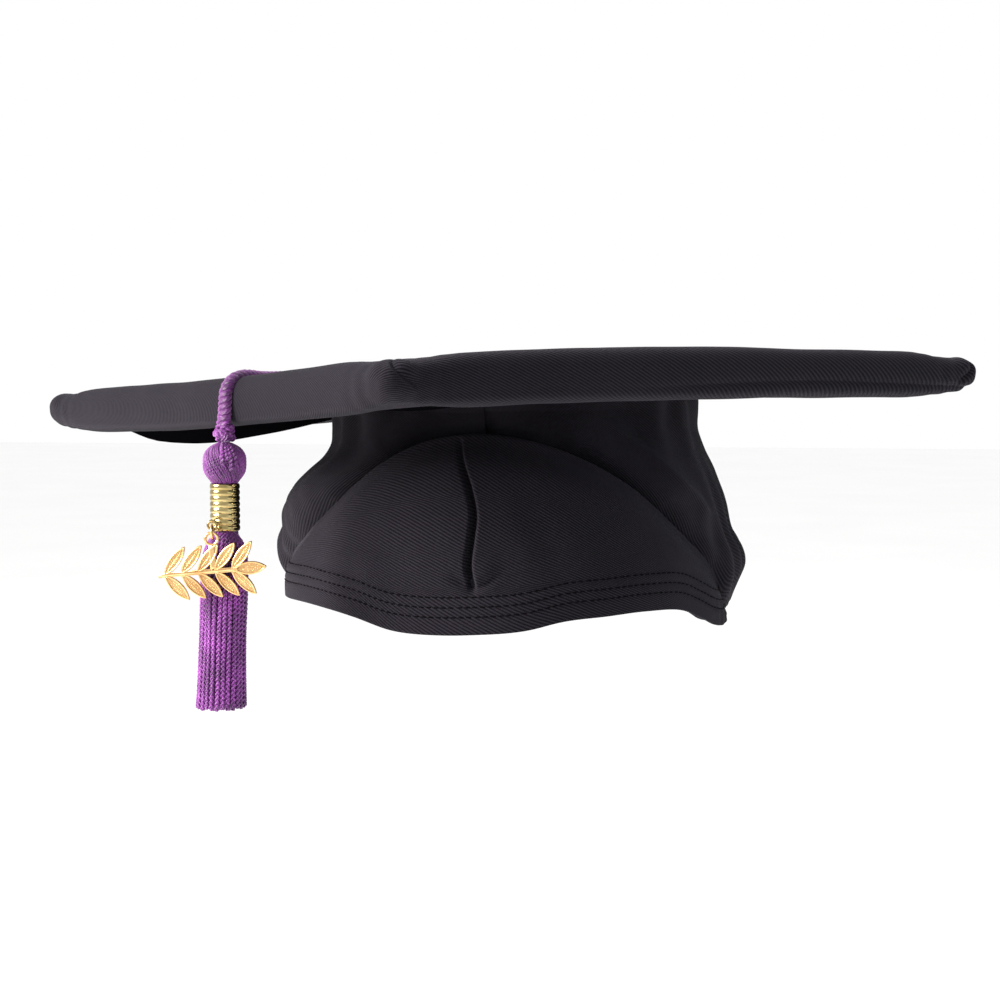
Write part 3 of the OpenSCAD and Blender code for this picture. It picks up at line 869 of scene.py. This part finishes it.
# ---- Tassel ----
def turned(x, y, z):
    """A point given in the charm's frame: x to its right as seen, y away from the viewer, z up."""
    a = math.radians(CHARM_TURN)
    return np.stack(np.broadcast_arrays(TASSEL[0] + x * math.cos(a) - y * math.sin(a),
                                        TASSEL[1] + x * math.sin(a) + y * math.cos(a), z), -1)


def about_tassel(r, angle, z):
    """Points round the tassel's own middle line; the angle is in radians."""
    return np.stack(np.broadcast_arrays(TASSEL[0] + r * np.cos(angle), TASSEL[1] + r * np.sin(angle), z), -1)


def make_cord():
    line = curve(RUN_ROUTE + DROP_ROUTE, 8)
    bag = Bag()
    add_rope(bag, line, CORD_D / 2, 3, 5.6, sides=10, gap=0.45)
    # the cord's darker purple is painted shade
    piece = bag.piece("tassel_cord", None, SHADED_ROPE)
    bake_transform(piece)
    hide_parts("cord_run", "cord_drop")
    angle = np.linspace(0, 2 * np.pi, 150, endpoint=False)
    r = BUTTON_R + 4.3
    loop = on_board(r * np.cos(angle), r * np.sin(angle), DIMPLE_H + 1.45 + 0 * angle)
    bag = Bag()
    add_rope(bag, loop, 1.3, 2, 3.4, sides=8, closed=True)
    # the loop's darker purple is painted shade
    piece = bag.piece("button_loop", "cord", SHADED_ROPE)
    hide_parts("cord_loop")


def bulb_radius(z):
    """Radius of the wound head at a height."""
    top, r = HEAD_TOP, HEAD_D / 2
    zs = [top - HEAD_H, top - HEAD_H + 1.2, top - 10, top - 6.6, top - 3.4, top - 1.4, top - 0.3, top + 0.3]
    rs = [4.1, 4.9, 6.1, r - 0.2, r - 0.7, 4.6, 2.6, 1.2]
    return smooth_interp(z, zs, rs)


def make_knot():
    """The hitch: the cord's plies splay, wrap the neck and end in tails over the head."""
    bag = Bag()
    base = np.array([TASSEL[0], TASSEL[1]])
    for k in range(3):
        z = np.array([69.5, 67.6, 66.0, 64.6, 63.2, 61.8, 60.9])
        r = np.array([1.1, 1.2, 1.7, 2.3, 2.3, 1.7, 1.2])
        a = 2 * np.pi * k / 3 - np.linspace(0, 3.2, len(z))
        xy = base + np.stack([r * np.cos(a), r * np.sin(a)], 1)
        add_rope(bag, curve(np.column_stack([xy, z])), 1.15, 2, 3.0, sides=7, gap=0.35, phase=k)
    for z0, r0, tilt in ((64.9, 2.2, 24), (62.9, 2.6, -20)):
        a = np.linspace(0, 2 * np.pi, 70, endpoint=False)
        lift = r0 * np.sin(a + 0.6) * math.sin(math.radians(tilt))
        ring_line = np.column_stack([base[0] + r0 * np.cos(a), base[1] + r0 * np.sin(a), z0 + lift])
        add_rope(bag, ring_line, 1.1, 2, 2.8, sides=7, closed=True)
    facing = math.radians(CHARM_TURN - 90)
    for side, end in ((3, 54.4), (14, 55.6), (25, 52.6), (36, 54.0)):
        z = np.linspace(63.6, end, 14)
        a = facing + math.radians(side) * (0.35 + 0.65 * np.linspace(0, 1, len(z)) ** 0.5)
        r = np.maximum(bulb_radius(z) + 0.85, 3.3 + 0 * z)
        r[0], r[-1] = 2.6, r[-1] - 0.5
        tail = np.column_stack([base[0] + r * np.cos(a), base[1] + r * np.sin(a), z])
        add_rope(bag, tail, 0.85, 2, 2.4, sides=6, gap=0.35, phase=side)
    piece = bag.piece("tassel_hitch", "tassel", PURPLE)
    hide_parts("tassel_knot")


def make_head():
    """Threads laid close over the round head, each a fine twisted pair, with a solid heart under them."""
    bag = Bag()
    count = 44
    z = np.linspace(HEAD_TOP + 0.1, HEAD_TOP - HEAD_H + 0.15, 26)
    r = bulb_radius(z)
    for k in range(count):
        wander = 0.02 * math.sin(k * 2.4)
        a = 2 * np.pi * k / count + 1.1 * np.linspace(0, 1, len(z)) + wander
        line = about_tassel(r - 0.42, a, z)
        thick = np.minimum(0.52, 0.95 * np.pi * (r - 0.3) / count + 0.06)
        strand, at = resample(line, 0.42)
        size = np.interp(at, np.linspace(0, at[-1], len(z)), thick)
        aa, bb = frames_along(strand)
        for half in (0, np.pi):
            turn = 2 * np.pi * at / 1.9 + half + k * 1.1
            ply = strand + 0.42 * size[:, None] * (aa * np.cos(turn)[:, None] + bb * np.sin(turn)[:, None])
            add_tube(bag, ply, size * 0.62, 5, shift=k * 0.31)
    a = np.linspace(0, 2 * np.pi, 49)
    heart = about_tassel((r - 0.75)[:, None], a[:-1], z[:, None])
    uv = cloth_uv(a[None, :] * 6, z[:, None])
    bag.add(*grid(heart, uv, wrap=True, flip=True))
    piece = bag.piece("tassel_head_threads", "tassel", PURPLE)
    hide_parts("tassel_head")


def make_ferrule():
    """Sheet metal pressed into ribs and closed with interlocking teeth, and a wire eye at its lower edge."""
    bag = Bag()
    ribs, rows, columns = 8, 97, 120
    pitch = FERRULE_L / ribs
    z = np.linspace(0, FERRULE_L, rows)
    r = FERRULE_R - 0.34 * (1 - np.abs(np.sin(np.pi * z / pitch)) ** 0.55)
    wall = 0.32
    seam = math.radians(CHARM_TURN - 90 + 47)
    a = seam + np.linspace(0.055, 2 * np.pi - 0.055, columns)
    outer = about_tassel(r[:, None], a, (FERRULE_BOTTOM + z)[:, None])
    inner = about_tassel((r - wall)[:, None], a, (FERRULE_BOTTOM + z)[:, None])
    shell = np.concatenate([outer, inner[::-1], outer[:1]])
    uv = cloth_uv((a * FERRULE_R)[None, :], np.arange(len(shell))[:, None] * 0.15)
    bag.add(*grid(shell, uv))
    for edge in (0, columns - 1):
        strip = np.stack([outer[:, edge], inner[:, edge]], 1)
        flat = cloth_uv(np.array([0, wall])[None, :], z[:, None])
        bag.add(*grid(strip, flat, flip=edge == 0))
    teeth = 18
    for k in range(teeth):
        zc = FERRULE_BOTTOM + (k + 0.5) * FERRULE_L / teeth
        lean = 1 if k % 2 else -1
        span = np.radians(np.linspace(-8.5, 8.5, 7)) + math.radians(2.2) * lean
        add_tube(bag, about_tassel(FERRULE_R + 0.02, seam + span, zc + 0.12 * lean), 0.27, 8)
    a = np.linspace(0, 2 * np.pi, 40, endpoint=False)
    eye = turned(LINK_X + EYE_R * np.cos(a), EYE_Y + 0 * a, EYE_Z + EYE_R * np.sin(a))
    add_tube(bag, eye, WIRE_R, 10, closed=True)
    tab = turned(np.full(5, LINK_X), np.linspace(EYE_Y + 0.1, -3.5, 5), EYE_Z + EYE_R - 0.05 * np.arange(5))
    add_tube(bag, tab, WIRE_R, 10)
    piece = bag.piece("ferrule_metal", "tassel", GOLD)
    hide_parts("ferrule")


def add_braid(bag, line, axis, phase):
    """A narrow braid of three plies, its flat side turned away from the axis."""
    line, at = resample(line, 0.4)
    tangent = np.gradient(line, axis=0)
    tangent /= np.linalg.norm(tangent, axis=1, keepdims=True)
    out = line - np.array([axis[0], axis[1], 0])
    out[:, 2] = 0
    out /= np.linalg.norm(out, axis=1, keepdims=True)
    side = np.cross(tangent, out)
    for k in range(3):
        turn = 2 * np.pi * (at / 4.5 + k / 3) + phase
        ply = line + 0.42 * np.sin(turn)[:, None] * side + 0.40 * np.sin(2 * turn)[:, None] * out
        add_tube(bag, ply, 0.34, 6, shift=k * 0.37)


def make_skirt():
    """Three rings of twisted strands that leave the ferrule together and hang to a level trimmed end."""
    bag = Bag()
    full = SKIRT_D / 2 - 0.8
    rings = ((26, full, 3), (21, full - 1.75, 1), (13, full - 3.5, 1), (6, 1.9, 1))
    for ring_number, (count, r_end, plies) in enumerate(rings):
        for k in range(count):
            seed = k * 1.618 + ring_number * 7.3
            a0 = 2 * np.pi * (k + 0.5 * (ring_number % 2)) / count + 0.012 * math.sin(seed * 5.1)
            drift = 0.03 * math.sin(seed * 3.7)
            end = -SKIRT_L + 0.25 * math.sin(seed * 9.1) + 0.2
            z = np.array([4.0, 0.5, -1.6, -4.0, -7.5, -13, -22, -32, -42, -50, end])
            share = np.array([0.50, 0.50, 0.53, 0.70, 0.85, 0.91, 0.92, 0.92, 0.94, 0.97, 1.0])
            neck = min(1.0, (FERRULE_R - 1.35) / (full * 0.5))
            r = r_end * (share * np.where(z > -2, neck, 1)) + 0.12 * np.sin(seed + z * 0.11)
            a = a0 + drift * np.linspace(0, 1, len(z)) ** 2 + 0.012 * np.sin(z * 0.25 + seed)
            # the whole skirt hangs a little to the wearer's right
            lean = np.interp(z, [-SKIRT_L, -19.2, -2], [-1.9, -0.5, 0])
            line = curve(np.column_stack([TASSEL[0] + r * np.cos(a) + 0.985 * lean,
                                          TASSEL[1] + r * np.sin(a) + 0.174 * lean, FERRULE_BOTTOM + z]), 5)
            if plies == 3:
                add_braid(bag, line, TASSEL, seed)
            else:
                add_tube(bag, resample(line, 2.2)[0], 0.8, 7)
    piece = bag.piece("tassel_skirt_strands", "tassel", PURPLE)
    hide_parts("skirt")


def make_ring():
    bag = Bag()
    a = np.radians(np.linspace(18, 342, 56))
    lean = math.radians(RING_LEAN)
    drop = -RING_R + 2 * WIRE_R + 0.15
    down, out = drop + RING_R * np.sin(a), RING_R * np.cos(a)
    # the ring lies in the plane of y and z, and is turned about x
    y = out * math.cos(lean) + down * math.sin(lean)
    z = -out * math.sin(lean) + down * math.cos(lean)
    line = turned(LINK_X + 0 * a + np.linspace(-0.12, 0.12, len(a)), EYE_Y + y, EYE_Z - EYE_R + z)
    add_tube(bag, line, WIRE_R, 12)
    piece = bag.piece("jump_ring_wire", "ring", CHARM_GOLD)
    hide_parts("jump_ring")


def leaf_outline(length, width, count=26):
    """A closed outline with two pointed ends, from the origin along +x."""
    r = (length**2 + width**2) / (4 * width)
    reach = math.asin(length / 2 / r)
    a = np.linspace(-reach, reach, count)
    top = np.stack([length / 2 + r * np.sin(a), r * np.cos(a) - (r - width / 2)], 1)
    return np.concatenate([top, (top * [1, -1])[::-1][1:-1]])


def rotate2(points, angle):
    a = math.radians(angle)
    return points @ np.array([[math.cos(a), math.sin(a)], [-math.sin(a), math.cos(a)]])


def make_charm():
    """Openwork sprig: each leaf is a plate with a raised rim, a midrib and a stippled field."""
    bag = Bag()
    drop = 2 * RING_R - 3 * WIRE_R - 0.3
    lean, tilt = math.radians(RING_LEAN), math.radians(CHARM_TILT)
    top = np.array([LINK_X, EYE_Y - drop * math.sin(lean), EYE_Z - EYE_R - drop * math.cos(lean)])
    centre_z = top[2] - CHARM_EYE_R - 9.2

    def place(flat, depth):
        """Points of the charm's face, with depth from its front towards the strands."""
        x = flat[:, 0] * math.cos(tilt) - flat[:, 1] * math.sin(tilt)
        z = flat[:, 0] * math.sin(tilt) + flat[:, 1] * math.cos(tilt)
        return turned(top[0] + x, top[1] - CHARM_T / 2 + depth, centre_z + z)

    def plate(outline, inset, front, back):
        """A closed plate: its face is sunk inside the rim, and its back is flat."""
        centre = outline.mean(0)
        inner = centre + (outline - centre) * inset
        hidden = inner * 0.98 + centre * 0.02
        points = np.array([place(inner, front), place(outline, front),
                           place(outline, back), place(hidden, back)])
        n = len(outline)
        uv = cloth_uv(np.arange(n + 1)[None, :] * 0.4, np.arange(4)[:, None] * 1.0)
        verts, faces, corners = grid(points, uv, wrap=True)
        hubs = [len(verts), len(verts) + 1]
        verts = np.concatenate([verts, place(centre[None], front), place(centre[None], back)])
        corners = corners.tolist()
        for j in range(n):
            k = (j + 1) % n
            faces += [[k, j, hubs[0]], [3 * n + j, 3 * n + k, hubs[1]]]
            corners += [[0, 0]] * 6
        bag.add(verts, faces, corners)

    sunk = 0.32
    stem = np.array([[-16.5, -0.75], [8.5, -0.75], [8.5, 0.75], [-16.5, 0.75]])
    neck = np.array([[-0.2, 0.2], [1.6, 0.2], [1.5, 8.1], [-0.1, 8.1]])
    leaves = [(7.0, 0.0, 0.0, 10.0, 4.0)]
    leaves += [(-14.6 + 5.2 * i, 0.0, side * 50.0, 10.8, 3.4) for i in range(5) for side in (-1, 1)]
    for x, y, angle, length, width in leaves:
        outline = rotate2(leaf_outline(length, width), angle) + [x, y]
        plate(outline, 0.8, sunk, CHARM_T)
        rim = rotate2(leaf_outline(length - 0.5, width - 0.45, 22), angle) + [x, y]
        rim = rim + rotate2(np.array([[0.25, 0]]), angle)
        add_tube(bag, place(rim, 0.25), 0.3, 8, closed=True)
        rib = rotate2(np.stack([np.linspace(0.8, length - 1.2, 8), np.zeros(8)], 1), angle) + [x, y]
        add_tube(bag, place(rib, sunk), np.linspace(0.22, 0.10, 8), 6)
        for gx in np.arange(1.4, length - 1.2, 0.62):
            half = np.interp(gx, [0, length / 2, length], [0.1, width / 2, 0.1]) - 0.62
            for gy in np.arange(0.42, half, 0.56):
                for sign in (-1, 1):
                    dot = rotate2(np.array([[gx + 0.31 * (round(gy / 0.56) % 2), sign * gy]]), angle) + [x, y]
                    add_dot(bag, place(dot, sunk)[0], 0.2)
    for outline in (stem, neck):
        plate(outline, 0.7, 0.12, CHARM_T)
    stem_line = np.stack([np.linspace(-16.3, 8, 20), np.zeros(20)], 1)
    add_tube(bag, place(stem_line, 0.22), 0.42, 8)
    a = np.linspace(0, 2 * np.pi, 44, endpoint=False)
    eye = turned(top[0] + CHARM_EYE_R * np.cos(a), top[1] + 0 * a,
                 top[2] + 2 * WIRE_R - CHARM_EYE_R + CHARM_EYE_R * np.sin(a))
    add_tube(bag, eye, WIRE_R + 0.06, 10, closed=True)
    piece = bag.piece("charm_sprig", "charm", CHARM_GOLD)
    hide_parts("charm")


def add_dot(bag, centre, radius):
    """A low dome that faces the viewer."""
    a = math.radians(CHARM_TURN)
    right, out = np.array([math.cos(a), math.sin(a), 0]), np.array([math.sin(a), -math.cos(a), 0])
    up = np.array([0, 0, 1.0])
    turn = np.linspace(0, 2 * np.pi, 6, endpoint=False)
    low = centre + radius * (np.cos(turn)[:, None] * right + np.sin(turn)[:, None] * up) - out * 0.05
    mid = centre + 0.62 * radius * (np.cos(turn)[:, None] * right + np.sin(turn)[:, None] * up) + out * 0.12
    verts = np.concatenate([low, mid, [centre + out * 0.17]])
    faces = [[j, (j + 1) % 6, 6 + (j + 1) % 6, 6 + j] for j in range(6)]
    faces += [[6 + j, 6 + (j + 1) % 6, 12] for j in range(6)]
    bag.add(verts, faces, [[0, 0]] * (6 * 4 + 6 * 3))


# ---- Studio ----
def area_light(name, place, target, size, power, colour):
    data = bpy.data.lights.new(name, "AREA")
    data.shape = "DISK"
    data.size = size
    data.energy = power
    data.color = colour
    light = bpy.data.objects.new(name, data)
    bpy.context.scene.collection.objects.link(light)
    light.location = place
    light.rotation_euler = (Vector(target) - Vector(place)).to_track_quat("-Z", "Y").to_euler()


def make_studio():
    mesh = bpy.data.meshes.new("floor")
    size, z = 12.0, -0.45
    square = [(-size, -size, z), (size, -size, z), (size, size, z), (-size, size, z)]
    mesh.from_pydata(square, [], [(0, 1, 2, 3)])
    floor = bpy.data.objects.new("floor", mesh)
    bpy.context.scene.collection.objects.link(floor)
    pale = Nodes("pale_floor", 0.9)
    pale.colour(pale.noise(3.0, 2), [(0.3, (0.94, 0.94, 0.94)), (0.7, (0.96, 0.96, 0.96))])
    mesh.materials.append(pale.material)
    world = bpy.data.worlds.new("studio")
    world.use_nodes = True
    world.node_tree.nodes["Background"].inputs["Color"].default_value = (1.0, 1.0, 1.0, 1)
    world.node_tree.nodes["Background"].inputs["Strength"].default_value = 1.0
    bpy.context.scene.world = world
    area_light("key", (-1.35, -0.85, 0.78), (-0.02, 0, 0.05), 1.0, 112, (1.0, 0.94, 0.90))
    area_light("fill", (1.3, -1.2, 0.3), (0.0, 0, 0.05), 0.9, 2.5, (0.70, 0.82, 1.0))
    bpy.context.scene.view_settings.view_transform = "Standard"


make_cord()
make_top_cover()
make_bottom_cover()
make_crown()
make_crown_tip()
make_button()
make_knot()
make_head()
make_ferrule()
make_skirt()
make_ring()
make_charm()

for node, material in {"board_core": CARD, "pad_top": WADDING, "pad_bottom": WADDING, "button_shell": STEEL,
                       "button_back": STEEL, "button_washer": STEEL}.items():
    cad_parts[node].data.materials.clear()
    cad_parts[node].data.materials.append(material)

make_studio()
